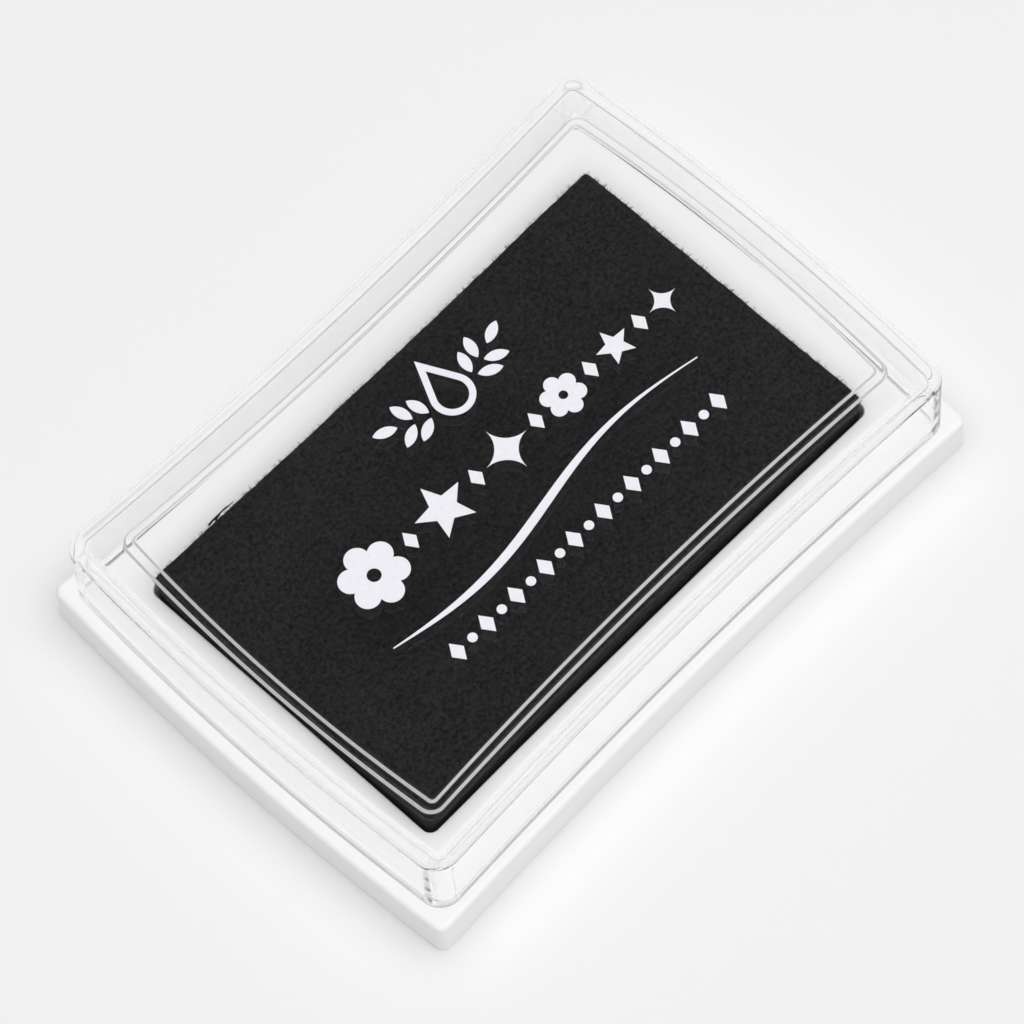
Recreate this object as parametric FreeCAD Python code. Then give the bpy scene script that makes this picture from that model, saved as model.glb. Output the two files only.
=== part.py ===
"""Craft ink pad in a lidded case: a white moulded base, a cloth-covered ink pad in its well and a clear lid.

Millimetres. +Z is up. The origin is the centre of the underside, on the plane that the case rests on.
+X runs along the long side, and +Y points to the top of the decoration printed on the lid.
The long sides draw in at their middle and the short sides bow out, on the base and on the lid alike.
"""

import FreeCAD, Part
import math
import os

Vector = FreeCAD.Vector

# ---- Driving dimensions: the case ----
LENGTH = 76.0  # over the bowed short sides of the base
WIDTH = 53.0  # over the corners of the waisted long sides of the base
HEIGHT = 16.0  # to the top of the lid's raised panel
BOW = 1.05  # how far a short side stands out at its middle
WAIST = 1.0  # how far a long side draws in at its middle

# ---- The base moulding ----
LEDGE_Z = 5.1  # top of the plinth, where the lid's walls stand
BASE_WALL = 1.4
BASE_CORNER = 1.1
BASE_TOP_ROUND = 0.6
BASE_FOOT_ROUND = 0.3
HOLLOW_CORNER = 0.5
WELL_FLOOR_Z = 2.4
DECK_Z = 5.6  # the raised deck inside the lid, which keeps the lid in its place
DECK_GAP = 0.15  # between the deck's edge and the lid's wall
DECK_ROUND = 0.2  # on that edge and on the mouth of the pad's well
RIB_WALL = 1.0  # cross ribs in the hollow under the ledge
RIB_PITCH = 12.0
RIB_FOOT_Z = 0.8  # the ribs stop short of the resting plane

# ---- The clear lid ----
LEDGE_END = 1.35  # ledge left free outside the lid on the short sides
LEDGE_SIDE = 1.07  # and on the long sides
LID_WALL = 1.3
LID_CORNER = 2.5
LID_ROUND = 1.4  # round edge between the walls and the rim
LID_INNER_ROUND = 0.5
LID_PLATE = 1.3
RIM_Z = 15.45  # flat rim round the raised panel
STEP_END = 3.9  # from the lid's wall to the first step of the panel, on the short sides
STEP_SIDE = 4.4  # and on the long sides
STEP_TREAD = 0.95  # between the two steps
STEP_CORNER = 1.5
TREAD_Z = 15.75
STEP_ROUND = 0.1
RIM_ROUND = 0.3  # soft edge of the lid's open rim

# ---- The pad insert ----
PAD_LENGTH = 60.8
PAD_WIDTH = 37.4
PAD_TOP_Z = 8.5
PAD_CORNER = 0.7
PAD_TOP_ROUND = 0.4
PAD_WAIST = 0.3
PAD_GAP = 0.3  # between the pad and the wall of its well
CLOTH = 0.4
HEM = 5.0  # width of cloth turned under the board
TAPE_GAP = 0.3  # between the tape's edge and the hem
BOARD = 1.0

# ---- Print on the lid ----
INK = 0.05
EMBLEM_X = 1.2
EMBLEM_Y = 8.3  # middle of the ink drop's round end
DROP_RADIUS = 2.3
DROP_HEIGHT = 5.2
DROP_OPENING = 0.7  # size of the drop's opening against the drop
SPRAY_START = 3.1  # from the emblem's middle to the foot of a leaf spray
SPRAY_RISE = 24.0  # degrees that a spray climbs outwards
LEAF_LENGTH = 2.6
LEAF_PITCH = 1.7  # between the leaf pairs of a spray
LEAF_PAIRS = 2
LEAF_SPREAD = 52.0  # degrees between a leaf and its stem
LEAF_GAP = 0.3  # left open along the stem
ROW_Y = 0.4
ROW_START_X = -21.3
ROW_RADIUS = 3.6  # of the first and largest ornament
ROW_SHRINK = 0.87  # each ornament against the one before it
ROW_GAP = 1.4  # from an ornament to the middle of the small diamond beside it
ROW_DIAMOND = (1.5, 2.3)
PETAL = 0.36  # petal, eye and inner corners, as shares of the ornament's radius
FLOWER_EYE = 0.2
STAR_WAIST = 0.45
SPARKLE_WAIST = 0.43
RULE_X = -0.9  # middle of the rule
RULE_Y = -6.3
RULE_LENGTH = 42.0
RULE_SWING = 1.3  # of its double curve, each way
RULE_TIP = 0.06
RULE_SWELL = 0.4
RULE_LEAN = 0.8  # below 1 the thickest place lies left of the middle
RULE_TAPER = 1.5  # the higher, the longer the thin ends
RULE_STEPS = 12
DOTS_Y = -11.0
DOTS_PITCH = 2.0
DOTS_COUNT = 19
DOT_RADIUS = 0.5
DOTS_DIAMOND = (1.6, 2.4)

# ---- Label under the base ----
LABEL_LENGTH = 40.0
LABEL_WIDTH = 24.0
LABEL = 0.1
LABEL_CORNER = 1.5

# ---- Sizes that follow ----
BASE_X = LENGTH / 2 - BOW
BASE_Y = WIDTH / 2
LID_X = BASE_X - LEDGE_END
LID_Y = BASE_Y - LEDGE_SIDE
PAD_X = PAD_LENGTH / 2
PAD_Y = PAD_WIDTH / 2
WELL_X = PAD_X + PAD_GAP
WELL_Y = PAD_Y + PAD_GAP
WELL_CORNER = PAD_CORNER + PAD_GAP
UNDER_FLOOR_Z = WELL_FLOOR_Z - BASE_WALL
BOARD_Z = WELL_FLOOR_Z + CLOTH
FOAM_Z = BOARD_Z + BOARD
TINY = 1e-6
OVERRUN = 1.0  # how far a cutting solid runs past the face it opens


# ---- Outlines and prisms ----
def side(start, middle, end):
    """A side of an outline: an arc through its middle, or a line where it is straight."""
    if (start + end).multiply(0.5).distanceToPoint(middle) < TINY:
        return Part.makeLine(start, end)
    return Part.Arc(start, middle, end).toShape()


def case_outline(half_x, half_y, z, bow, waist):
    """The flat four-sided shape shared by the base, the lid and its panel, with sharp corners."""
    corners = [
        Vector(-half_x, -half_y, z),
        Vector(half_x, -half_y, z),
        Vector(half_x, half_y, z),
        Vector(-half_x, half_y, z),
    ]
    middles = [
        Vector(0, waist - half_y, z),
        Vector(half_x + bow, 0, z),
        Vector(0, half_y - waist, z),
        Vector(-half_x - bow, 0, z),
    ]
    sides = [side(corners[i], middles[i], corners[(i + 1) % 4]) for i in range(4)]
    return Part.Face(Part.Wire(sides))


def upright_edges(solid):
    return [e for e in solid.Edges if abs(e.tangentAt(e.FirstParameter).z) > 1 - TINY]


def edges_at(solid, z):
    return [e for e in solid.Edges if all(abs(v.Z - z) < TINY for v in e.Vertexes)]


def block(half_x, half_y, z_low, z_high, corner, bow=BOW, waist=WAIST):
    """A prism on the case outline with round upright corners."""
    outline = case_outline(half_x, half_y, z_low, bow, waist)
    prism = outline.extrude(Vector(0, 0, z_high - z_low))
    return prism.makeFillet(corner, upright_edges(prism))


def pad_block(inset, z_low, z_high, corner):
    """A prism on the pad's outline, drawn in by inset."""
    return block(PAD_X - inset, PAD_Y - inset, z_low, z_high, corner, 0, PAD_WAIST)


def round_edges(solid, radius, z):
    return solid.makeFillet(radius, edges_at(solid, z))


# ---- The base ----
def well_block(margin, z_low, z_high):
    """A prism on the well's outline, grown by margin."""
    corner = WELL_CORNER + margin
    return block(WELL_X + margin, WELL_Y + margin, z_low, z_high, corner, 0, PAD_WAIST)


def deck():
    """The raised deck, on the outline of the space inside the lid's walls."""
    inset = LID_WALL + DECK_GAP
    low_z = LEDGE_Z - BASE_WALL / 2
    return block(LID_X - inset, LID_Y - inset, low_z, DECK_Z, LID_CORNER - inset)


def under_ribs():
    """Cross ribs that tie the outer wall to the wall of the well, in the hollow under the ledge."""
    height = LEDGE_Z - BASE_WALL / 2 - RIB_FOOT_Z
    ribs = []
    steps_x = int(WELL_X // RIB_PITCH)
    steps_y = int(WELL_Y // RIB_PITCH)
    for step in range(-steps_x, steps_x + 1):
        corner = Vector(step * RIB_PITCH - RIB_WALL / 2, -BASE_Y, RIB_FOOT_Z)
        ribs.append(Part.makeBox(RIB_WALL, 2 * BASE_Y, height, corner))
    for step in range(-steps_y, steps_y + 1):
        corner = Vector(-BASE_X - BOW, step * RIB_PITCH - RIB_WALL / 2, RIB_FOOT_Z)
        ribs.append(Part.makeBox(2 * (BASE_X + BOW), RIB_WALL, height, corner))
    channel = base_hollow().cut(well_block(BASE_WALL / 2, -OVERRUN, LEDGE_Z + OVERRUN))
    return [rib.common(channel) for rib in ribs]


def base_hollow():
    """The space inside the outer wall and below the deck."""
    half_x = BASE_X - BASE_WALL
    half_y = BASE_Y - BASE_WALL
    return block(half_x, half_y, -OVERRUN, LEDGE_Z - BASE_WALL, HOLLOW_CORNER)


def base_tray():
    """Plinth, ledge, raised deck and pad well in one hollow moulding, open underneath."""
    plinth = block(BASE_X, BASE_Y, 0, LEDGE_Z, BASE_CORNER)
    plinth = round_edges(plinth, BASE_TOP_ROUND, LEDGE_Z)
    plinth = round_edges(plinth, BASE_FOOT_ROUND, 0)
    shell = plinth.cut(base_hollow())
    well_walls = well_block(BASE_WALL, UNDER_FLOOR_Z, LEDGE_Z)
    body = shell.fuse([well_walls, deck()] + under_ribs())
    well = well_block(0, WELL_FLOOR_Z, DECK_Z + OVERRUN)
    return round_edges(body.cut(well).removeSplitter(), DECK_ROUND, DECK_Z)


# ---- The pad insert ----
def pad_tape():
    """Double-sided tape that holds the board down in the well, inside the turned hem."""
    return pad_block(HEM + TAPE_GAP, WELL_FLOOR_Z, BOARD_Z, PAD_CORNER)


def backing_board():
    return pad_block(CLOTH, BOARD_Z, FOAM_Z, PAD_CORNER - CLOTH)


def foam_core():
    return pad_block(CLOTH, FOAM_Z, PAD_TOP_Z - CLOTH, PAD_CORNER - CLOTH)


def pad_cloth():
    """Cloth drawn over the foam and turned under the board all round."""
    outer = pad_block(0, WELL_FLOOR_Z, PAD_TOP_Z, PAD_CORNER)
    outer = round_edges(outer, PAD_TOP_ROUND, PAD_TOP_Z)
    inside = pad_block(CLOTH, BOARD_Z, PAD_TOP_Z - CLOTH, PAD_CORNER - CLOTH)
    opening = pad_block(HEM, WELL_FLOOR_Z - OVERRUN, BOARD_Z + BOARD / 2, PAD_CORNER)
    return outer.cut(inside).cut(opening)


# ---- The lid ----
def panel_step(tread, z_high):
    """The raised panel down to the rim, drawn in by tread from its first step."""
    half_x = LID_X - STEP_END - tread
    half_y = LID_Y - STEP_SIDE - tread
    return block(half_x, half_y, RIM_Z - LID_PLATE / 2, z_high, STEP_CORNER - tread)


def lid():
    """Clear box lid with round edges and a panel raised in two small steps."""
    shell = block(LID_X, LID_Y, LEDGE_Z, RIM_Z, LID_CORNER)
    shell = round_edges(shell, LID_ROUND, RIM_Z)
    first = round_edges(panel_step(0, TREAD_Z), STEP_ROUND, TREAD_Z)
    second = round_edges(panel_step(STEP_TREAD, HEIGHT), STEP_ROUND, HEIGHT)
    cavity = block(
        LID_X - LID_WALL,
        LID_Y - LID_WALL,
        LEDGE_Z - OVERRUN,
        RIM_Z - LID_PLATE,
        LID_CORNER - LID_WALL,
    )
    cavity = round_edges(cavity, LID_INNER_ROUND, RIM_Z - LID_PLATE)
    solid = shell.fuse([first, second]).cut(cavity).removeSplitter()
    return solid.makeFillet(RIM_ROUND, outer_foot_edges(solid))


def outer_foot_edges(solid):
    """The outside edges of the lid's open rim, where it stands on the ledge."""
    foot = edges_at(solid, LEDGE_Z)
    inner_x = LID_X - LID_WALL / 2
    inner_y = LID_Y - LID_WALL / 2 - WAIST
    return [e for e in foot if lies_outside(e, inner_x, inner_y)]


def lies_outside(edge, half_x, half_y):
    centre = edge.CenterOfMass
    return abs(centre.x) > half_x or abs(centre.y) > half_y


# ---- Printed decoration: flat faces on the lid's panel, each printed INK thick ----
def printed(faces):
    solids = [face.extrude(Vector(0, 0, INK)) for face in faces]
    return Part.makeCompound(solids)


def polygon(points):
    return Part.Face(Part.makePolygon(points + points[:1]))


def polar(centre, radius, degrees):
    angle = math.radians(degrees)
    return centre + Vector(radius * math.cos(angle), radius * math.sin(angle), 0)


def disc(centre, radius):
    return Part.Face(Part.Wire(Part.makeCircle(radius, centre)))


def diamond(centre, width, height):
    return polygon(
        [
            centre + Vector(-width / 2, 0, 0),
            centre + Vector(0, -height / 2, 0),
            centre + Vector(width / 2, 0, 0),
            centre + Vector(0, height / 2, 0),
        ]
    )


def star(centre, radius, tips=5):
    """A star with straight sides."""
    points = []
    for i in range(2 * tips):
        reach = radius if i % 2 == 0 else radius * STAR_WAIST
        points.append(polar(centre, reach, 90 + 180 / tips * i))
    return polygon(points)


def sparkle(centre, radius, tips=4):
    """A star with hollow-curved sides between its tips."""
    curves = []
    for i in range(tips):
        start = polar(centre, radius, 90 + 360 / tips * i)
        middle = polar(centre, radius * SPARKLE_WAIST, 90 + 360 / tips * (i + 0.5))
        end = polar(centre, radius, 90 + 360 / tips * (i + 1))
        curves.append(Part.Arc(start, middle, end).toShape())
    return Part.Face(Part.Wire(curves))


def flower(centre, radius, petals=6):
    """Round petals about an open eye."""
    petal = radius * PETAL
    reach = radius - petal
    eye = disc(centre, radius * FLOWER_EYE)
    discs = [disc(polar(centre, reach, 90 + 360 / petals * i), petal) for i in range(petals)]
    body = disc(centre, reach).fuse(discs).removeSplitter()
    return body.cut(eye).Faces[0]


def leaf(root, length, degrees, fullness=0.22):
    """A pointed leaf from its root, in the direction of degrees."""
    tip = polar(root, length, degrees)
    middle = polar(root, length / 2, degrees)
    left = polar(middle, length * fullness, degrees + 90)
    right = polar(middle, length * fullness, degrees - 90)
    edges = [Part.Arc(root, left, tip).toShape(), Part.Arc(tip, right, root).toShape()]
    return Part.Face(Part.Wire(edges))


def spray(foot, stem_angle):
    """Pairs of leaves along a stem that isn't drawn, and one leaf at its end."""
    leaves = []
    for i in range(LEAF_PAIRS):
        joint = polar(foot, LEAF_PITCH * i, stem_angle)
        for turn in (-1, 1):
            root = polar(joint, LEAF_GAP, stem_angle + turn * 90)
            leaves.append(leaf(root, LEAF_LENGTH, stem_angle + turn * LEAF_SPREAD))
    end = polar(foot, LEAF_PITCH * LEAF_PAIRS, stem_angle)
    leaves.append(leaf(end, LEAF_LENGTH, stem_angle))
    return leaves


def drop(centre, radius, height):
    """A drop standing on its round end, with its tip height above the round end's centre."""
    tip = centre + Vector(0, height, 0)
    lean = math.degrees(math.asin(radius / height))
    right = polar(centre, radius, lean)
    left = polar(centre, radius, 180 - lean)
    bottom = polar(centre, radius, -90)
    edges = [
        Part.makeLine(tip, left),
        Part.Arc(left, bottom, right).toShape(),
        Part.makeLine(right, tip),
    ]
    return Part.Face(Part.Wire(edges))


def print_emblem():
    """An open ink drop between two sprays of leaves."""
    centre = Vector(EMBLEM_X, EMBLEM_Y, HEIGHT)
    opening = drop(centre, DROP_RADIUS * DROP_OPENING, DROP_HEIGHT * DROP_OPENING)
    shape = [drop(centre, DROP_RADIUS, DROP_HEIGHT).cut(opening).Faces[0]]
    shape += spray(centre + Vector(SPRAY_START, 0, 0), SPRAY_RISE)
    shape += spray(centre - Vector(SPRAY_START, 0, 0), 180 - SPRAY_RISE)
    return printed(shape)


def print_ornaments():
    """A row of ornaments that grow smaller to the right, with small diamonds between them."""
    makers = [flower, star, sparkle, flower, star, sparkle]
    shape = []
    x = ROW_START_X
    radius = ROW_RADIUS
    for i, maker in enumerate(makers):
        shape.append(maker(Vector(x + radius, ROW_Y, HEIGHT), radius))
        x += 2 * radius + ROW_GAP
        if i < len(makers) - 1:
            shape.append(diamond(Vector(x, ROW_Y, HEIGHT), *ROW_DIAMOND))
            x += ROW_GAP
        radius *= ROW_SHRINK
    return printed(shape)


def print_rule():
    """A long tapered rule with a slow double curve, thickest left of its middle."""
    upper = []
    lower = []
    for i in range(RULE_STEPS + 1):
        t = i / RULE_STEPS
        x = RULE_X + RULE_LENGTH * (t - 0.5)
        y = RULE_Y + RULE_SWING * math.sin(math.pi * (2 * t - 1))
        thick = RULE_TIP + RULE_SWELL * math.sin(math.pi * t**RULE_LEAN) ** RULE_TAPER
        upper.append(Vector(x, y + thick, HEIGHT))
        lower.append(Vector(x, y - thick, HEIGHT))
    top = Part.BSplineCurve()
    top.interpolate(upper)
    bottom = Part.BSplineCurve()
    bottom.interpolate(lower)
    ends = [Part.makeLine(upper[0], lower[0]), Part.makeLine(upper[-1], lower[-1])]
    edges = Part.sortEdges([top.toShape(), bottom.toShape()] + ends)[0]
    return printed([Part.Face(Part.Wire(edges))])


def print_dots():
    """A fine row of small diamonds and dots."""
    first_x = -(DOTS_COUNT - 1) / 2 * DOTS_PITCH
    shape = []
    for i in range(DOTS_COUNT):
        centre = Vector(first_x + i * DOTS_PITCH, DOTS_Y, HEIGHT)
        if i % 2 == 0:
            shape.append(diamond(centre, *DOTS_DIAMOND))
        else:
            shape.append(disc(centre, DOT_RADIUS))
    return printed(shape)


def underside_label():
    """A plain sticker on the underside of the well's floor."""
    half_x = LABEL_LENGTH / 2
    half_y = LABEL_WIDTH / 2
    return block(half_x, half_y, UNDER_FLOOR_Z - LABEL, UNDER_FLOOR_Z, LABEL_CORNER, 0, 0)


PIECES = {
    "base_tray": base_tray,
    "pad_tape": pad_tape,
    "backing_board": backing_board,
    "foam_core": foam_core,
    "pad_cloth": pad_cloth,
    "lid": lid,
    "print_emblem": print_emblem,
    "print_ornaments": print_ornaments,
    "print_rule": print_rule,
    "print_dots": print_dots,
    "underside_label": underside_label,
}

os.makedirs("parts", exist_ok=True)
for name, make in PIECES.items():
    make().exportStep(f"parts/{name}.step")
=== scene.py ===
"""A craft ink pad in its clear-lidded case: the looks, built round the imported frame.

Lengths are in metres unless a name or a comment says millimetres."""

import bmesh
import bpy
import math
import random
from mathutils import Matrix, Vector, noise


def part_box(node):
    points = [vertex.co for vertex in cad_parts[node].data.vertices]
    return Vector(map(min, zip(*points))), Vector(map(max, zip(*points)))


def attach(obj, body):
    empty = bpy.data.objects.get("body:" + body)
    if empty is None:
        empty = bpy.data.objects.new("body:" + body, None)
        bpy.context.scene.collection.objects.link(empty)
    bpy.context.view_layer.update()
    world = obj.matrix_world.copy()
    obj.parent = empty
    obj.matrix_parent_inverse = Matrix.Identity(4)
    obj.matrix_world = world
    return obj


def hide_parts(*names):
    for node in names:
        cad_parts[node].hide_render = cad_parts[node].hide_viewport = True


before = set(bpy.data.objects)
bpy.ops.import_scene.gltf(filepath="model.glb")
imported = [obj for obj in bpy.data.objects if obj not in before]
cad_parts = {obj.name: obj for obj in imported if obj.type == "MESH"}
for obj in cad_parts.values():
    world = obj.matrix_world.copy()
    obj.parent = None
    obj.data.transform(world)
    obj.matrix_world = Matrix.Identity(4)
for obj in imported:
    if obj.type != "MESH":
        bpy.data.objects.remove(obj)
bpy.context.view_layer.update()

MM = 0.001

# ---- Outlines, as the frame's own design states them ----
BOW = 1.05 * MM  # how far a short side stands out at its middle
WAIST = 1.0 * MM  # how far a long side draws in at its middle
LID_STEPS = (144, 100, 16)  # points along a long side, a short side and a corner
PAD_STEPS = (144, 88, 4)

# ---- The lid's wall ----
LID_CORNER = 2.5 * MM
LID_LEAST_CORNER = 0.4 * MM  # the smallest corner that the wall's inner outlines keep
LID_WALL = 1.42 * MM  # a little thicker than the CAD, so that no dark slit shows beside the deck
LID_PLATE = 1.3 * MM
LID_ROUND = 1.4 * MM
LID_INNER_ROUND = 0.5 * MM
LID_BANDS = 8  # even bands of faces up each side of the wall
RIM_LOOPS = (0.3 * MM, 0.8 * MM, 1.5 * MM)  # extra outlines on the flat rim, inward from its round edge
FOOT_ROUND = 0.15 * MM
FOOT_GAP = 0.03 * MM  # keeps the lid's foot just off the ledge

# ---- The lid's stepped panel ----
PANEL_RISE = 0.55 * MM  # from the rim to the top of the panel
TREAD_RISE = 0.3 * MM  # from the rim to the tread between the two steps
STEP_END = 3.9 * MM
STEP_SIDE = 4.4 * MM
STEP_TREAD = 0.95 * MM
STEP_CORNER = 1.5 * MM
STEP_LEAST_CORNER = 0.3 * MM
STEP_ROUND = 0.12 * MM
STEP_APRON = 0.25 * MM  # flat band before a step's root
STEP_CREST = 0.15 * MM  # flat band past a step's round edge
PANEL_LOOPS = (0.5 * MM, 1.0 * MM)
PRINT_GAP = 0.002 * MM  # keeps the clear panel just off the print that lies on it
CLEAR = 0  # the lid's material slots
# slot 1 holds the steps' rounds, coloured pale grey as a painted highlight
STEP_HIGHLIGHT = 1

# ---- The pad ----
PAD_CORNER = 0.7 * MM
PAD_LEAST_CORNER = 0.25 * MM
PAD_TOP_ROUND = 0.45 * MM
PAD_WAIST = 0.3 * MM
PAD_SLACK = 0.2 * MM  # how much lower the form starts than the pad's top
PAD_INSET = 0.06 * MM
PAD_BAND = 0.3 * MM  # width of the first band of faces beside a flat end or the foot
SWELL_TOP = 0.17 * MM  # how far the cloth may move when it is drawn tight
SWELL_SIDE = 0.05 * MM
CLOTH_SCALE = 10.0
CLOTH_FRAMES = 20
CLOTH_QUALITY = 5
CLOTH_PRESSURE = 4.0
CLOTH_STRETCH = 25
CLOTH_BENDING = 2
NAP_LAYERS = (  # size and height in millimetres, and where the noise is sampled: fibres, tufts, pull
    (0.42, 0.045, Vector((0, 0, 0))),
    (1.1, 0.03, Vector((7, 3, 1))),
    (6.0, 0.06, Vector((2, 9, 4))),
)

# ---- Loose fibres ----
FIBRE_STEPS = 4
FIBRE_TAPER = 0.7  # the share of its width that a fibre loses by its tip
FUZZ_SEED = 11
FUZZ_COUNT = 1600
FUZZ_FACING = (0.35, 0.85)  # how much the pad's surface faces up where a fibre may stand
FUZZ_SPREAD = 1.4  # how far a fibre may turn from straight out, in radians
FUZZ_BEND = 1.2
FUZZ_DROOP = (-0.4, 0.3)
FUZZ_ROOT_MM = 0.04  # how deep a root starts inside the pad
FUZZ_LENGTH_MM = (0.25, 0.6)
FUZZ_WIDTH_MM = (0.018, 0.032)
LOOSE_STRAND = (  # along X, out from the side, heading, bend, length, thickness
    (-22.7 * MM, 0.22 * MM, 0.12, -0.2, 2.4 * MM, 0.13 * MM),
    (-21.9 * MM, 0.10 * MM, 0.30, -0.4, 1.9 * MM, 0.12 * MM),
    (-20.5 * MM, 0.36 * MM, -0.15, 0.3, 1.3 * MM, 0.09 * MM),
)


# ---- Outlines as rings of points ----
def sharp_half(box, corner, bow=BOW, waist=WAIST):
    """Half length and half width of a node's outline at its sharp corners, from the node's box."""
    high = box[1]
    half_x = high.x - bow
    reach = (half_x - corner) / half_x
    return half_x, high.y + waist * (1 - reach * reach)


def corner_centre(half_x, half_y, corner, bow, waist):
    """Centre of the round corner that touches both curved sides."""
    x = half_x - corner
    y = half_y - corner
    for _ in range(4):
        x = half_x + bow * (1 - (y / half_y) ** 2) - corner
        y = half_y - waist * (1 - (x / half_x) ** 2) - corner
    return x, y


def ring(half_x, half_y, corner, z, bow=BOW, waist=WAIST, steps=LID_STEPS):
    """The outline as a closed ring of points, anticlockwise from the middle of the -X -Y corner."""
    long_steps, short_steps, corner_steps = steps
    cx, cy = corner_centre(half_x, half_y, corner, bow, waist)
    lean_long = math.atan(2 * waist * cx / half_x**2)
    lean_short = math.atan(2 * bow * cy / half_y**2)

    def along_long(t):
        x = cx * t
        return Vector((x, -(half_y - waist * (1 - (x / half_x) ** 2)), z))

    def along_short(t):
        y = cy * t
        return Vector((half_x + bow * (1 - (y / half_y) ** 2), y, z))

    def round_corner(first, last):
        turn = []
        for i in range(corner_steps + 1):
            angle = first + (last - first) * i / corner_steps
            turn.append(Vector((cx + corner * math.cos(angle), -cy + corner * math.sin(angle), z)))
        return turn

    long_side = [along_long(-1 + 2 * i / long_steps) for i in range(1, long_steps)]
    corner_right = round_corner(-math.pi / 2 + lean_long, -lean_short)
    short_side = [along_short(-1 + 2 * i / short_steps) for i in range(1, short_steps)]
    upper_right = [Vector((p.x, -p.y, z)) for p in reversed(corner_right)]
    half = corner_steps // 2
    lower_left = [Vector((-p.x, p.y, z)) for p in reversed(corner_right)]
    points = lower_left[half:] + long_side + corner_right + short_side + upper_right[: half + 1]
    return points[:-1] + [Vector((-p.x, -p.y, z)) for p in points[:-1]]


def ring_corners(steps):
    """Where the middles of the four corners stand in a ring."""
    long_steps, short_steps, corner_steps = steps
    long_side = long_steps + corner_steps
    short_side = short_steps + corner_steps
    return 0, long_side, long_side + short_side, 2 * long_side + short_side


# ---- Meshes from rings ----
def fill_grid(bm, verts, steps, facing):
    """Fills a ring of vertices with an even grid of quads that faces up (1) or down (-1)."""
    c0, c1, c2, c3 = ring_corners(steps)
    bottom = verts[c0 : c1 + 1]
    right = verts[c1 : c2 + 1]
    top = verts[c2 : c3 + 1][::-1]
    left = (verts[c3:] + verts[:1])[::-1]
    columns = len(bottom) - 1
    rows = len(right) - 1
    grid = [bottom]
    for j in range(1, rows):
        v = j / rows
        row = [left[j]]
        for i in range(1, columns):
            u = i / columns
            edge = bottom[i].co * (1 - v) + top[i].co * v + left[j].co * (1 - u) + right[j].co * u
            corners = (bottom[0].co * (1 - u) + bottom[-1].co * u) * (1 - v)
            corners = corners + (top[0].co * (1 - u) + top[-1].co * u) * v
            row.append(bm.verts.new(edge - corners))
        row.append(right[j])
        grid.append(row)
    grid.append(top)
    for j in range(rows):
        for i in range(columns):
            quad = [grid[j][i], grid[j][i + 1], grid[j + 1][i + 1], grid[j + 1][i]]
            bm.faces.new(quad if facing > 0 else quad[::-1])


def ring_solid(name, rings, steps, slots=None):
    """A closed mesh through the rings. The first ring is filled facing down and the last facing up.

    slots gives the material slot of the faces after each ring."""
    bm = bmesh.new()
    loops = [[bm.verts.new(p) for p in points] for points in rings]
    for k, (lower, upper) in enumerate(zip(loops, loops[1:])):
        for i in range(len(lower)):
            j = (i + 1) % len(lower)
            face = bm.faces.new([lower[i], lower[j], upper[j], upper[i]])
            face.material_index = slots[k] if slots else 0
    fill_grid(bm, loops[0], steps, -1)
    fill_grid(bm, loops[-1], steps, 1)
    return mesh_piece(name, bm)


def mesh_piece(name, bm, smooth_degrees=35):
    mesh = bpy.data.meshes.new(name)
    bm.normal_update()
    bm.to_mesh(mesh)
    bm.free()
    mesh.shade_smooth()
    mesh.set_sharp_from_angle(angle=math.radians(smooth_degrees))
    piece = bpy.data.objects.new(name, mesh)
    bpy.context.scene.collection.objects.link(piece)
    return piece


def weigh_normals(piece):
    """Makes the flat faces keep their own normal beside the small rounds."""
    weigh = piece.modifiers.new("weigh_normals", "WEIGHTED_NORMAL")
    weigh.keep_sharp = True
    weigh.weight = 90


def quarter(inset, z, radius, steps, inset_way, z_way, start_flat):
    """Points of a quarter round as (inset, z). It begins at (inset, z) and ends one radius away both ways."""
    points = []
    for i in range(steps + 1):
        a = math.pi / 2 * i / steps
        slow = radius * (1 - math.cos(a))
        fast = radius * math.sin(a)
        along, across = (fast, slow) if start_flat else (slow, fast)
        points.append((inset + inset_way * along, z + z_way * across))
    return points


def evenly(low, high, steps):
    return [low + (high - low) * i / steps for i in range(1, steps)]


# ---- Shader helpers ----
def new_material(name):
    material = bpy.data.materials.new(name)
    material.use_nodes = True
    nodes = material.node_tree.nodes
    nodes.clear()
    output = nodes.new("ShaderNodeOutputMaterial")
    shader = nodes.new("ShaderNodeBsdfPrincipled")
    material.node_tree.links.new(shader.outputs[0], output.inputs["Surface"])
    return material, shader, output


def add_node(material, kind, **settings):
    node = material.node_tree.nodes.new(kind)
    for key, value in settings.items():
        setattr(node, key, value)
    return node


def link(material, source, target):
    material.node_tree.links.new(source, target)


def noise_value(material, scale_mm, detail=3.0, roughness=0.5, stretch=(1, 1, 1)):
    """Noise with features of about scale_mm, in the object's own coordinates."""
    place = add_node(material, "ShaderNodeTexCoord")
    mapping = add_node(material, "ShaderNodeMapping")
    mapping.inputs["Scale"].default_value = stretch
    link(material, place.outputs["Object"], mapping.inputs["Vector"])
    texture = add_node(material, "ShaderNodeTexNoise")
    texture.inputs["Scale"].default_value = 1 / (scale_mm * MM)
    texture.inputs["Detail"].default_value = detail
    texture.inputs["Roughness"].default_value = roughness
    link(material, mapping.outputs[0], texture.inputs["Vector"])
    return texture.outputs["Fac"]


def remap(material, value, from_low, from_high, to_low, to_high):
    node = add_node(material, "ShaderNodeMapRange")
    node.inputs["From Min"].default_value = from_low
    node.inputs["From Max"].default_value = from_high
    node.inputs["To Min"].default_value = to_low
    node.inputs["To Max"].default_value = to_high
    link(material, value, node.inputs["Value"])
    return node.outputs["Result"]


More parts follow.
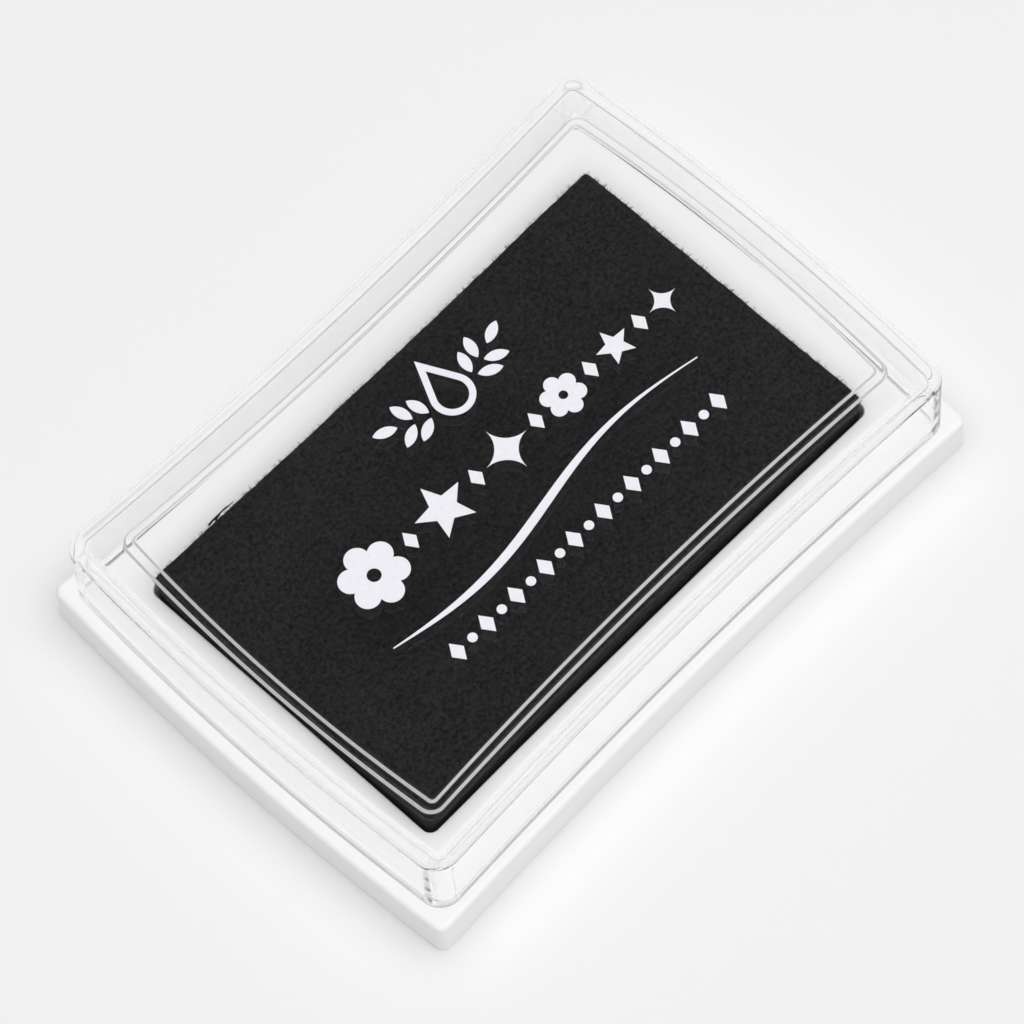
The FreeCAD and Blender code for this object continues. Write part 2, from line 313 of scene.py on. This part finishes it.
def mix_colours(material, factor, first, second):
    node = add_node(material, "ShaderNodeMix", data_type="RGBA")
    node.inputs["A"].default_value = (*first, 1)
    node.inputs["B"].default_value = (*second, 1)
    link(material, factor, node.inputs["Factor"])
    return node.outputs["Result"]


def add_bump(material, shader, height, strength, distance_mm):
    bump = add_node(material, "ShaderNodeBump")
    bump.inputs["Strength"].default_value = strength
    bump.inputs["Distance"].default_value = distance_mm * MM
    link(material, height, bump.inputs["Height"])
    link(material, bump.outputs[0], shader.inputs["Normal"])


# ---- Materials ----
LID_IOR = 1.5
WALL_SATIN = 0.04
INK_DEEP = (0.002, 0.002, 0.0022)
# the pale end gives random mottling and also a painted glint on the high fibres
INK_MOTTLE_AND_GLINT = (0.034, 0.034, 0.035)


def white_moulding():
    """White polystyrene: faintly uneven gloss and a fine moulded texture."""
    material, shader, _ = new_material("white_moulding")
    cloud = noise_value(material, 9.0, 4.0)
    colour = mix_colours(material, cloud, (0.895, 0.895, 0.89), (0.925, 0.925, 0.925))
    link(material, colour, shader.inputs["Base Color"])
    gloss = remap(material, noise_value(material, 2.5, 5.0), 0.3, 0.7, 0.3, 0.42)
    link(material, gloss, shader.inputs["Roughness"])
    add_bump(material, shader, noise_value(material, 0.35, 4.0), 0.035, 0.02)
    shader.inputs["IOR"].default_value = 1.55
    return material


def see_through(material, shader, output, near, grazing):
    """Lets lamps shine through a clear material as tinted light, less so where it is met edge on."""
    facing = add_node(material, "ShaderNodeLayerWeight")
    facing.inputs["Blend"].default_value = 0.5
    shade = remap(material, facing.outputs["Facing"], 0.3, 1.0, 0.0, 1.0)
    through = add_node(material, "ShaderNodeBsdfTransparent")
    link(material, mix_colours(material, shade, near, grazing), through.inputs["Color"])
    path = add_node(material, "ShaderNodeLightPath")
    either = add_node(material, "ShaderNodeMath", operation="MAXIMUM")
    link(material, path.outputs["Is Shadow Ray"], either.inputs[0])
    link(material, path.outputs["Is Diffuse Ray"], either.inputs[1])
    mix = add_node(material, "ShaderNodeMixShader")
    link(material, either.outputs[0], mix.inputs["Fac"])
    link(material, shader.outputs[0], mix.inputs[1])
    link(material, through.outputs[0], mix.inputs[2])
    link(material, mix.outputs[0], output.inputs["Surface"])


def clear_moulding():
    """Clear polystyrene: polished, with patchy haze, and a little satin on its walls and round edges."""
    material, shader, output = new_material("clear_moulding")
    shader.inputs["Base Color"].default_value = (1, 1, 1, 1)
    shader.inputs["Transmission Weight"].default_value = 1.0
    shader.inputs["IOR"].default_value = LID_IOR
    place = add_node(material, "ShaderNodeNewGeometry")
    split = add_node(material, "ShaderNodeSeparateXYZ")
    link(material, place.outputs["Normal"], split.inputs[0])
    level = add_node(material, "ShaderNodeMath", operation="ABSOLUTE")
    link(material, split.outputs["Z"], level.inputs[0])
    satin = remap(material, level.outputs[0], 0.9, 0.995, WALL_SATIN, 0.0)
    haze = remap(material, noise_value(material, 6.0, 6.0, 0.6), 0.35, 0.75, 0.0, 0.03)
    gloss = add_node(material, "ShaderNodeMath", operation="ADD")
    link(material, satin, gloss.inputs[0])
    link(material, haze, gloss.inputs[1])
    link(material, gloss.outputs[0], shader.inputs["Roughness"])
    add_bump(material, shader, noise_value(material, 14.0, 1.0), 0.03, 0.05)
    see_through(material, shader, output, (0.995, 0.995, 0.997), (0.965, 0.965, 0.97))
    return material


def step_highlight_paint():
    """The lid's small steps: their rounds get a pale grey colour, a painted highlight for the bright studio
    they mirror, so they show pale over the pad.
    """
    material, shader, output = new_material("step_highlight_paint")
    grain = noise_value(material, 0.6, 3.0)
    # pale grey colour: a painted highlight on the clear steps' rounds
    colour = mix_colours(material, grain, (0.55, 0.55, 0.56), (0.72, 0.72, 0.73))
    link(material, colour, shader.inputs["Base Color"])
    shader.inputs["Transmission Weight"].default_value = 0.15
    shader.inputs["IOR"].default_value = LID_IOR
    link(material, remap(material, grain, 0.3, 0.7, 0.3, 0.5), shader.inputs["Roughness"])
    see_through(material, shader, output, (0.9, 0.9, 0.9), (0.8, 0.8, 0.8))
    return material


def inked_cloth():
    """Fine black cloth full of ink: mottled, and paler on the highest fibres, a painted glint where they
    would catch the light.
    """
    material, shader, _ = new_material("inked_cloth")
    grain = noise_value(material, 0.42, 3.0, 0.6)
    fine = noise_value(material, 0.14, 2.0, 0.6)
    damp = noise_value(material, 5.0, 3.0)
    both = add_node(material, "ShaderNodeMath", operation="MULTIPLY_ADD")
    link(material, fine, both.inputs[0])
    both.inputs[1].default_value = 0.35
    link(material, grain, both.inputs[2])
    # paler where the bump noise stands highest: random mottling and a painted glint on the fibre tops
    lit = remap(material, both.outputs[0], 0.42, 1.05, 0, 1)
    link(material, mix_colours(material, lit, INK_DEEP, INK_MOTTLE_AND_GLINT), shader.inputs["Base Color"])
    link(material, remap(material, damp, 0.3, 0.7, 0.6, 0.85), shader.inputs["Roughness"])
    add_bump(material, shader, both.outputs[0], 0.8, 0.1)
    shader.inputs["Specular IOR Level"].default_value = 0.12
    return material


def print_ink():
    """White screen-printing ink with a faint lavender cast and the mesh's fine mottling."""
    material, shader, _ = new_material("print_ink")
    colour = mix_colours(material, noise_value(material, 0.5, 3.0), (0.76, 0.76, 0.82), (0.88, 0.88, 0.93))
    link(material, colour, shader.inputs["Base Color"])
    shader.inputs["Roughness"].default_value = 0.45
    add_bump(material, shader, noise_value(material, 0.15, 2.0), 0.2, 0.01)
    return material


def soaked_foam():
    """Open-cell foam that has taken up black ink."""
    material, shader, _ = new_material("soaked_foam")
    cells = noise_value(material, 0.5, 4.0, 0.7)
    colour = mix_colours(material, cells, (0.01, 0.01, 0.012), (0.06, 0.06, 0.065))
    link(material, colour, shader.inputs["Base Color"])
    shader.inputs["Roughness"].default_value = 0.7
    add_bump(material, shader, cells, 1.0, 0.2)
    return material


def grey_board():
    """Grey board with long fibres."""
    material, shader, _ = new_material("grey_board")
    fibres = noise_value(material, 0.6, 5.0, 0.6, (0.25, 1, 1))
    colour = mix_colours(material, fibres, (0.38, 0.36, 0.32), (0.6, 0.57, 0.52))
    link(material, colour, shader.inputs["Base Color"])
    shader.inputs["Roughness"].default_value = 0.9
    add_bump(material, shader, fibres, 0.4, 0.05)
    return material


def foam_tape():
    """Cream double-sided tape."""
    material, shader, _ = new_material("foam_tape")
    cells = noise_value(material, 0.3, 3.0)
    colour = mix_colours(material, cells, (0.7, 0.66, 0.55), (0.85, 0.82, 0.72))
    link(material, colour, shader.inputs["Base Color"])
    shader.inputs["Roughness"].default_value = 0.6
    add_bump(material, shader, cells, 0.4, 0.05)
    return material


def label_paper():
    """Coated white paper."""
    material, shader, _ = new_material("label_paper")
    fibres = noise_value(material, 0.4, 5.0, 0.6)
    colour = mix_colours(material, fibres, (0.84, 0.84, 0.83), (0.9, 0.9, 0.89))
    link(material, colour, shader.inputs["Base Color"])
    shader.inputs["Roughness"].default_value = 0.5
    add_bump(material, shader, fibres, 0.15, 0.02)
    return material


# ---- The clear lid ----
def wall_profile(foot_z, ceiling_z, rim_z):
    """The wall as (inset, z): down inside, across the foot, up outside, over the edge and on to the rim."""
    spring_z = ceiling_z - LID_INNER_ROUND
    shoulder_z = rim_z - LID_ROUND
    profile = quarter(LID_WALL + LID_INNER_ROUND, ceiling_z, LID_INNER_ROUND, 5, -1, -1, True)
    profile += [(LID_WALL, z) for z in evenly(spring_z, foot_z, LID_BANDS)]
    profile += [(LID_WALL, foot_z), ((LID_WALL + FOOT_ROUND) / 2, foot_z)]
    profile += quarter(FOOT_ROUND, foot_z, FOOT_ROUND, 4, -1, 1, True)
    profile += [(0.0, z) for z in evenly(foot_z + FOOT_ROUND, shoulder_z, LID_BANDS)]
    profile += quarter(0.0, shoulder_z, LID_ROUND, 20, 1, 1, False)
    return profile + [(LID_ROUND + d, rim_z) for d in RIM_LOOPS]


def step_profile(inset, low_z, high_z):
    """One small step up: a hollow round at its root, a short riser and a round edge."""
    root = quarter(inset - STEP_ROUND, low_z, STEP_ROUND, 3, 1, 1, True)
    edge = quarter(inset, high_z - STEP_ROUND, STEP_ROUND, 3, 1, 1, False)
    return [(inset - STEP_APRON, low_z)] + root + edge + [(inset + STEP_ROUND + STEP_CREST, high_z)]


def lid_shell():
    """The lid as one closed shell: the wall and its rim, then the panel raised in two small steps."""
    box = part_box("lid")
    half_x, half_y = sharp_half(box, LID_CORNER)
    foot_z = box[0].z + FOOT_GAP
    panel_z = box[1].z - PRINT_GAP
    rim_z = box[1].z - PANEL_RISE
    tread_z = rim_z + TREAD_RISE

    def wall(inset, z):
        corner = max(LID_CORNER - inset, LID_LEAST_CORNER)
        return ring(half_x - inset, half_y - inset, corner, z)

    def step(inset, z):
        corner = max(STEP_CORNER - inset, STEP_LEAST_CORNER)
        return ring(half_x - STEP_END - inset, half_y - STEP_SIDE - inset, corner, z)

    rings = [wall(inset, z) for inset, z in wall_profile(foot_z, rim_z - LID_PLATE, rim_z)]
    slots = [CLEAR] * len(rings)
    for inset, low_z, high_z in ((0.0, rim_z, tread_z), (STEP_TREAD, tread_z, panel_z)):
        points = step_profile(inset, low_z, high_z)
        rings += [step(d, z) for d, z in points]
        # the steps' rounds take the slot that is painted pale as a highlight
        slots += [CLEAR] + [STEP_HIGHLIGHT] * (len(points) - 3) + [CLEAR, CLEAR]
    rings += [step(STEP_TREAD + d, panel_z) for d in PANEL_LOOPS]
    slots += [CLEAR] * len(PANEL_LOOPS)
    piece = ring_solid("clear_lid", rings, LID_STEPS, slots)
    weigh_normals(piece)
    return piece


# ---- The pad ----
def pad_form():
    """The cloth before it is drawn tight: a closed form on the pad's outline, a little small."""
    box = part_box("pad_cloth")
    half_x, half_y = sharp_half(box, PAD_CORNER, 0, PAD_WAIST)
    low_z = box[0].z
    high_z = box[1].z - PAD_SLACK

    def pad_ring(inset, z):
        corner = max(PAD_CORNER - inset, PAD_LEAST_CORNER)
        inset = inset + PAD_INSET
        return ring(half_x - inset, half_y - inset, corner, z, 0, PAD_WAIST, PAD_STEPS)

    side_z = low_z + PAD_BAND
    round_z = high_z - PAD_TOP_ROUND
    profile = [(PAD_BAND, low_z)]
    profile += [(0.0, z) for z in [side_z] + evenly(side_z, round_z, 10)]
    profile += quarter(0.0, round_z, PAD_TOP_ROUND, 4, 1, 1, False)
    profile += [(PAD_TOP_ROUND + PAD_BAND, high_z)]
    return ring_solid("inked_pad", [pad_ring(inset, z) for inset, z in profile], PAD_STEPS)


def add_cloth(piece, held):
    """Cloth that swells under pressure and has no weight."""
    cloth = piece.modifiers.new("cloth", "CLOTH")
    cloth.settings.quality = CLOTH_QUALITY
    cloth.settings.vertex_group_mass = held.name
    cloth.settings.use_pressure = True
    cloth.settings.uniform_pressure_force = CLOTH_PRESSURE
    cloth.settings.effector_weights.gravity = 0
    cloth.settings.tension_stiffness = CLOTH_STRETCH
    cloth.settings.compression_stiffness = CLOTH_STRETCH
    cloth.settings.bending_stiffness = CLOTH_BENDING
    cloth.point_cache.frame_end = CLOTH_FRAMES
    return cloth


def limited(move):
    """A vertex's move, kept within the small swell that the pad may have."""
    sideways = Vector((move.x, move.y, 0))
    sideways *= min(1.0, SWELL_SIDE / max(sideways.length, 1e-9))
    upwards = max(-SWELL_SIDE, min(move.z, SWELL_TOP))
    return sideways + Vector((0, 0, upwards))


def draw_tight(piece, fixed_z):
    """Blows the form up a little as cloth, held below fixed_z, and applies the result to the mesh.

    The mesh is enlarged for the simulation, because Cloth suits sizes of about a metre."""
    mesh = piece.data
    start = [v.co.copy() for v in mesh.vertices]
    for vertex in mesh.vertices:
        vertex.co *= CLOTH_SCALE
    held = piece.vertex_groups.new(name="held")
    held.add([i for i, p in enumerate(start) if p.z < fixed_z], 1.0, "REPLACE")
    cloth = add_cloth(piece, held)
    scene = bpy.context.scene
    for moment in range(1, CLOTH_FRAMES + 1):
        scene.frame_set(moment)
    drawn = piece.evaluated_get(bpy.context.evaluated_depsgraph_get()).to_mesh()
    ends = [v.co / CLOTH_SCALE for v in drawn.vertices]
    piece.to_mesh_clear()
    piece.modifiers.remove(cloth)
    piece.vertex_groups.remove(held)
    scene.frame_set(1)
    for vertex, before, after in zip(mesh.vertices, start, ends):
        vertex.co = before + limited(after - before)
    mesh.update()


def refine(piece):
    subdivide = piece.modifiers.new("finer", "SUBSURF")
    subdivide.levels = 1
    subdivide.render_levels = 1
    bpy.context.view_layer.objects.active = piece
    bpy.ops.object.modifier_apply(modifier=subdivide.name)


def raise_nap(piece, low_z):
    """Moves each vertex above low_z in or out by layers of noise: the nap and the cloth's uneven pull."""
    mesh = piece.data
    normals = [v.normal.copy() for v in mesh.vertices]
    for vertex, normal in zip(mesh.vertices, normals):
        if vertex.co.z < low_z:
            continue
        place = vertex.co
        rise = sum(height * noise.noise(place / (size * MM) + shift) for size, height, shift in NAP_LAYERS)
        vertex.co += normal * rise * MM
    mesh.update()


def inked_pad():
    deck_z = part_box("base_tray")[1].z
    piece = pad_form()
    draw_tight(piece, deck_z)
    refine(piece)
    raise_nap(piece, deck_z)
    return piece


def fibre(bm, start, heading, bend, length, thickness, droop):
    """One bent fibre as a thin three-sided tube with closed ends."""
    rings = []
    point = start.copy()
    for i in range(FIBRE_STEPS + 1):
        t = i / FIBRE_STEPS
        turn = heading + bend * t
        along = Vector((math.cos(turn), math.sin(turn), droop))
        across = Vector((-math.sin(turn), math.cos(turn), 0))
        width = thickness * (1 - FIBRE_TAPER * t)
        lift = Vector((0, 0, width))
        rings.append([bm.verts.new(point + p) for p in (across * width, lift, -across * width)])
        point = point + along * length / FIBRE_STEPS
    for lower, upper in zip(rings, rings[1:]):
        for i in range(3):
            j = (i + 1) % 3
            bm.faces.new([lower[i], lower[j], upper[j], upper[i]])
    bm.faces.new(rings[0][::-1])
    bm.faces.new(rings[-1])


def pad_fuzz(pad):
    """Loose fibre ends along the pad's top edge, and one strand that has come away from the +Y side."""
    rng = random.Random(FUZZ_SEED)
    low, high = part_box("pad_cloth")
    middle_z = (low.z + high.z) / 2
    least, most = FUZZ_FACING
    roots = [v for v in pad.data.vertices if v.co.z > middle_z and least < v.normal.z < most]
    bm = bmesh.new()
    for _ in range(FUZZ_COUNT):
        root = rng.choice(roots)
        outward = Vector((root.normal.x, root.normal.y, 0)).normalized()
        heading = math.atan2(outward.y, outward.x) + rng.uniform(-FUZZ_SPREAD, FUZZ_SPREAD)
        start = root.co - outward * FUZZ_ROOT_MM * MM
        length = rng.uniform(*FUZZ_LENGTH_MM) * MM
        thickness = rng.uniform(*FUZZ_WIDTH_MM) * MM
        bend = rng.uniform(-FUZZ_BEND, FUZZ_BEND)
        fibre(bm, start, heading, bend, length, thickness, rng.uniform(*FUZZ_DROOP))
    for along, out, heading, bend, length, thickness in LOOSE_STRAND:
        start = Vector((along, high.y - PAD_WAIST + out, high.z - PAD_TOP_ROUND))
        fibre(bm, start, heading, bend, length, thickness, 0.0)
    return mesh_piece("pad_fuzz", bm)


# ---- Stage ----
SHINE_NEAR = (1.02, 1.02, 1.03)  # what glossy and clear surfaces see on the camera's side
SHINE_FAR = (0.45, 0.45, 0.47)
DARK_CARD = (0.03, 0.03, 0.03)
CARD_MARGIN = 0.5 * MM  # how far past the pad the card's reflection stays fully dark
CARD_FADE = 3.0 * MM
CARD_HEIGHT = (0.2, 0.3)  # how steeply a ray must rise to meet the card: none of it, then all of it
FAR_SIDE = (0.66, 0.75, 0)  # the way the camera looks, level
FAR_BLEND = (-0.2, 0.8)
COOL_SIDE = (0.7, -0.7, 0)
COOL_BLEND = (-0.9, 0.9)
FILL_WARM = (0.025, 0.01, 0.0)
FILL_COOL = (0.13, 0.13, 0.145)
KEY_FROM = (0.0, -0.14, 0.99)
KEY_DISTANCE = 1.2
KEY_SIZE = 2.8
KEY_POWER = 31.9
FLOOR_HALF = 1.5
FLOOR_GAP = 0.02 * MM
FLOOR_GREY = (0.865, 0.865, 0.865, 1)
LIGHT_BOUNCES = 24  # enough for rays to cross the clear lid many times
CAMERA_TILT = math.radians(25.59)  # from straight down
CAMERA_TURN = math.radians(41.105)
CAMERA_ROLL = math.radians(-5.568)
CAMERA_DISTANCE = 0.64743
CAMERA_LENS = 232.02
CAMERA_AIM = Vector((0.871, 0.931, 0.610)) * MM


def add_camera():
    data = bpy.data.cameras.new("camera")
    data.lens = CAMERA_LENS
    data.sensor_width = 36.0
    data.clip_start = 0.01
    data.clip_end = 10.0
    camera = bpy.data.objects.new("camera", data)
    bpy.context.scene.collection.objects.link(camera)
    swing = Matrix.Rotation(-CAMERA_TURN, 4, "Z")
    tilt = Matrix.Rotation(CAMERA_TILT, 4, "X")
    roll = Matrix.Rotation(CAMERA_ROLL, 4, "Z")
    turned = swing @ tilt @ roll
    camera.matrix_world = turned
    camera.location = CAMERA_AIM + turned.to_3x3() @ Vector((0, 0, CAMERA_DISTANCE))
    bpy.context.scene.camera = camera
    return camera.location


def add_floor():
    bm = bmesh.new()
    bmesh.ops.create_grid(bm, x_segments=8, y_segments=8, size=FLOOR_HALF)
    floor = mesh_piece("floor", bm)
    floor.location.z = -FLOOR_GAP
    material, shader, _ = new_material("floor_card")
    shader.inputs["Base Color"].default_value = FLOOR_GREY
    shader.inputs["Roughness"].default_value = 0.9
    shader.inputs["Specular IOR Level"].default_value = 0.1
    floor.data.materials.append(material)


def add_softbox():
    """One wide round softbox overhead. Shiny surfaces see the studio's pale cards instead of it."""
    data = bpy.data.lights.new("softbox", "AREA")
    data.shape = "DISK"
    data.size = KEY_SIZE
    data.energy = KEY_POWER
    lamp = bpy.data.objects.new("softbox", data)
    bpy.context.scene.collection.objects.link(lamp)
    away = Vector(KEY_FROM).normalized()
    lamp.location = away * KEY_DISTANCE
    lamp.rotation_mode = "QUATERNION"
    lamp.rotation_quaternion = away.to_track_quat("Z", "Y")
    lamp.visible_glossy = False
    lamp.visible_transmission = False
    lamp.visible_camera = False


def map_range(tree, value, from_low, from_high, to_low, to_high):
    node = tree.nodes.new("ShaderNodeMapRange")
    node.interpolation_type = "SMOOTHSTEP"
    node.inputs["From Min"].default_value = from_low
    node.inputs["From Max"].default_value = from_high
    node.inputs["To Min"].default_value = to_low
    node.inputs["To Max"].default_value = to_high
    tree.links.new(value, node.inputs["Value"])
    return node.outputs["Result"]


def toward(tree, direction, aim):
    node = tree.nodes.new("ShaderNodeVectorMath")
    node.operation = "DOT_PRODUCT"
    node.inputs[1].default_value = aim
    tree.links.new(direction, node.inputs[0])
    return node.outputs["Value"]


def mix_node(tree, factor, first, second):
    node = tree.nodes.new("ShaderNodeMix")
    node.data_type = "RGBA"
    for socket, value in ((node.inputs["A"], first), (node.inputs["B"], second)):
        if isinstance(value, tuple):
            socket.default_value = (*value, 1)
        else:
            tree.links.new(value, socket)
    tree.links.new(factor, node.inputs["Factor"])
    return node.outputs["Result"]


def shows_at(point, eye, level):
    """Where a point shows in the plane z = level, seen from the eye."""
    return point + (eye - point) * (level - point.z) / (eye.z - point.z)


def card_reach(tree, ratio, eye, reach, low, high):
    """How much of the dark card shows along one axis: 1 where the lid's flat top mirrors it over the pad."""
    spot = tree.nodes.new("ShaderNodeMath")
    spot.operation = "MULTIPLY_ADD"
    spot.inputs[1].default_value = reach
    spot.inputs[2].default_value = eye - (low + high) / 2
    tree.links.new(ratio, spot.inputs[0])
    distance = tree.nodes.new("ShaderNodeMath")
    distance.operation = "ABSOLUTE"
    tree.links.new(spot.outputs[0], distance.inputs[0])
    edge = (high - low) / 2 + CARD_MARGIN
    return map_range(tree, distance.outputs[0], edge, edge + CARD_FADE, 1, 0)


def dark_card(tree, direction, eye):
    """The dark card overhead. The lid's flat top mirrors it to the camera just where the pad shows."""
    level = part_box("lid")[1].z
    pad_low, pad_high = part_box("pad_cloth")
    pad_low = Vector((pad_low.x, pad_low.y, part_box("base_tray")[1].z))
    low = shows_at(pad_low, eye, level)
    high = shows_at(Vector(pad_high), eye, level)
    split = tree.nodes.new("ShaderNodeSeparateXYZ")
    tree.links.new(direction, split.inputs[0])
    card = map_range(tree, split.outputs["Z"], *CARD_HEIGHT, 0, 1)
    for axis, letter in enumerate("XY"):
        ratio = tree.nodes.new("ShaderNodeMath")
        ratio.operation = "DIVIDE"
        tree.links.new(split.outputs[letter], ratio.inputs[0])
        tree.links.new(split.outputs["Z"], ratio.inputs[1])
        part = card_reach(tree, ratio.outputs[0], eye[axis], eye.z - level, low[axis], high[axis])
        both = tree.nodes.new("ShaderNodeMath")
        both.operation = "MULTIPLY"
        tree.links.new(card, both.inputs[0])
        tree.links.new(part, both.inputs[1])
        card = both.outputs[0]
    return card


def add_world(eye):
    """A studio of pale cards. What shines and what lights are set apart, as flags and cards would do it."""
    world = bpy.data.worlds.new("studio")
    bpy.context.scene.world = world
    world.use_nodes = True
    tree = world.node_tree
    background = tree.nodes["Background"]
    direction = tree.nodes.new("ShaderNodeTexCoord").outputs["Generated"]
    card = dark_card(tree, direction, eye)
    far = map_range(tree, toward(tree, direction, FAR_SIDE), *FAR_BLEND, 0, 1)
    shine = mix_node(tree, card, mix_node(tree, far, SHINE_NEAR, SHINE_FAR), DARK_CARD)
    side = map_range(tree, toward(tree, direction, COOL_SIDE), *COOL_BLEND, 0, 1)
    fill = mix_node(tree, side, FILL_WARM, FILL_COOL)
    path = tree.nodes.new("ShaderNodeLightPath")
    colour = mix_node(tree, path.outputs["Is Diffuse Ray"], shine, fill)
    tree.links.new(colour, background.inputs["Color"])
    background.inputs["Strength"].default_value = 1.0


def paint(piece, materials, body):
    for material in materials:
        piece.data.materials.append(material)
    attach(piece, body)


def repaint_node(node, material):
    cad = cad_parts[node]
    for material_slot in cad.material_slots:
        material_slot.material = material


lid = lid_shell()
paint(lid, [clear_moulding(), step_highlight_paint()], "lid")
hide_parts("lid")

cloth = inked_cloth()
pad = inked_pad()
paint(pad, [cloth], "base")
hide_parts("pad_cloth")
paint(pad_fuzz(pad), [cloth], "base")

repaint_node("base_tray", white_moulding())
repaint_node("foam_core", soaked_foam())
repaint_node("backing_board", grey_board())
repaint_node("pad_tape", foam_tape())
repaint_node("underside_label", label_paper())
ink = print_ink()
for printed in ("print_emblem", "print_ornaments", "print_rule", "print_dots"):
    repaint_node(printed, ink)

add_floor()
add_world(add_camera())
add_softbox()
scene = bpy.context.scene
scene.view_settings.view_transform = "Standard"
scene.cycles.max_bounces = LIGHT_BOUNCES
scene.cycles.glossy_bounces = LIGHT_BOUNCES
scene.cycles.transmission_bounces = LIGHT_BOUNCES
